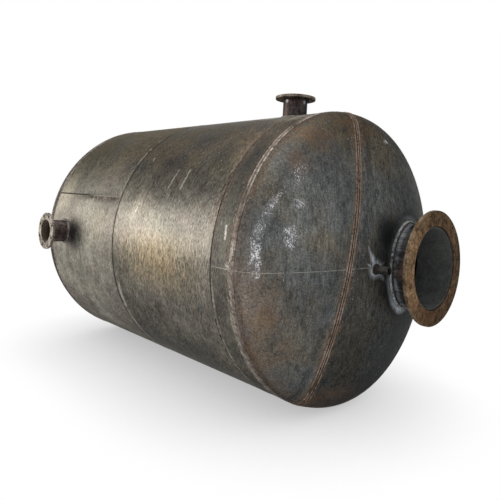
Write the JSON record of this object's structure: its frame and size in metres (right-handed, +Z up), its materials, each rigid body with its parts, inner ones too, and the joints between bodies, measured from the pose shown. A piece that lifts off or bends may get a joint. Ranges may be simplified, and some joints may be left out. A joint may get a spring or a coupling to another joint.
{
  "type": "horizontal oil storage tank",
  "caption": "Horizontal welded steel storage tank with dished ends, a manhole neck with ring flange in one end, flanged nozzles on top and side, and a small pipe stub.",
  "frame": {"origin": "on the floor under the tank's axis, midway between the two end girth welds", "axes": "+X along the tank towards the manhole end, +Z up, -Y towards the side nozzle"},
  "size_m": [3.1008, 1.9819, 1.9818],
  "materials": {
    "plate": "bare mill-scale steel plate with light rust",
    "pipe": "dark mill-scale steel pipe",
    "flange": "bare steel with a film of orange-brown rust",
    "weld": "rusty weld metal"
  },
  "bodies": {
    "root": {"rear_course": "plate", "middle_course": "plate", "front_ring": "plate", "front_head_main": "plate", "front_head_side": "plate", "rear_head_main": "plate", "rear_head_side": "plate", "manhole_neck": "pipe", "top_nozzle_pipe": "pipe", "side_nozzle_pipe": "pipe", "pipe_stub": "pipe", "manhole_flange": "flange", "top_nozzle_flange": "flange", "side_nozzle_flange": "flange", "front_girth_weld": "weld", "rear_girth_weld": "weld", "first_girth_weld": "weld", "second_girth_weld": "weld", "front_chord_weld": "weld", "rear_chord_weld": "weld", "rear_long_weld": "weld", "middle_long_weld": "weld", "ring_long_weld": "weld", "manhole_neck_weld": "weld", "manhole_flange_weld": "weld", "manhole_seal_weld": "weld", "pipe_stub_weld": "weld", "top_nozzle_weld": "weld", "top_flange_weld": "weld", "top_seal_weld": "weld", "side_nozzle_weld": "weld", "side_flange_weld": "weld", "side_seal_weld": "weld"}
  },
  "joints": []
}
